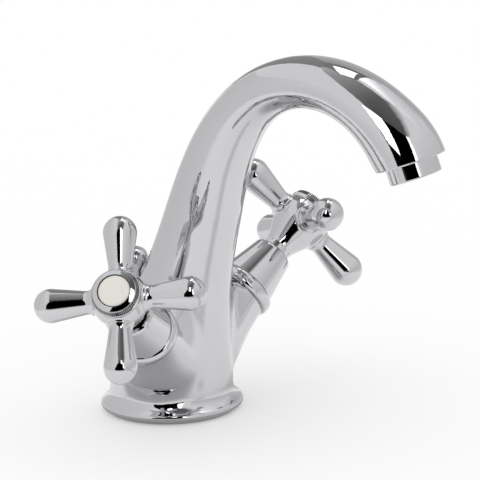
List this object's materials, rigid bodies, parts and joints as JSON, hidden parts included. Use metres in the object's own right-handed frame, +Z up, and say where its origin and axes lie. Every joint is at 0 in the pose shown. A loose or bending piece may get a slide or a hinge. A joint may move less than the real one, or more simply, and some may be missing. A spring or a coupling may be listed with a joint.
{
  "type": "basin mixer",
  "caption": "Deck-mounted basin mixer with a swan neck spout, clubbed cross handles on slanted quarter-turn valves and a pull rod behind the spout for a pop-up waste.",
  "frame": {"origin": "centre of the round base on the deck plane", "axes": "+Z up, spout toward -Y, hot side handle on -X and cold side handle on +X, lift rod on the +Y side"},
  "size_m": [0.1623, 0.1466, 0.1418],
  "materials": {
    "chrome": "polished chrome plate on brass",
    "porcelain": "glazed off-white porcelain, glossy",
    "rubber": "matt black sealing rubber",
    "plastic_grey": "moulded grey plastic",
    "plastic_white": "moulded white acetal",
    "brass": "turned brass",
    "valve_ceramic": "lapped white alumina",
    "steel": "stainless steel"
  },
  "bodies": {
    "mixer_body": {"body_casting": "chrome", "base_gasket": "rubber", "aerator_housing": "chrome", "aerator_insert": "plastic_grey", "aerator_washer": "rubber", "lift_rod_bush": "plastic_white", "left_bonnet": "chrome", "left_cartridge_body": "brass", "left_cartridge_washer": "rubber", "left_cartridge_seal": "rubber", "left_disc_fixed": "valve_ceramic", "right_bonnet": "chrome", "right_cartridge_body": "brass", "right_cartridge_washer": "rubber", "right_cartridge_seal": "rubber", "right_disc_fixed": "valve_ceramic"},
    "left_handle": {"left_disc_moving": "valve_ceramic", "left_spindle": "brass", "left_spindle_oring": "rubber", "left_spindle_clip": "steel", "left_cross_handle": "chrome", "left_handle_screw": "steel", "left_cap_ring": "chrome", "left_index_disc": "porcelain"},
    "right_handle": {"right_disc_moving": "valve_ceramic", "right_spindle": "brass", "right_spindle_oring": "rubber", "right_spindle_clip": "steel", "right_cross_handle": "chrome", "right_handle_screw": "steel", "right_cap_ring": "chrome", "right_index_disc": "porcelain"},
    "lift": {"lift_rod": "chrome", "lift_knob": "chrome"}
  },
  "joints": [
    {"name": "left_handle_turn", "type": "hinge", "parent": "mixer_body", "child": "left_handle", "pos_m": [0, 0, 0.0138], "axis": [-0.7767, -0.2554, 0.5757], "range_deg": [0, 90]},
    {"name": "right_handle_turn", "type": "hinge", "parent": "mixer_body", "child": "right_handle", "pos_m": [0, 0, 0.0138], "axis": [0.7767, -0.2554, 0.5757], "range_deg": [-90, 0]},
    {"name": "lift_rod_slide", "type": "slide", "parent": "mixer_body", "child": "lift", "axis": [0, 0, 1], "range_m": [0, 0.015]}
  ]
}
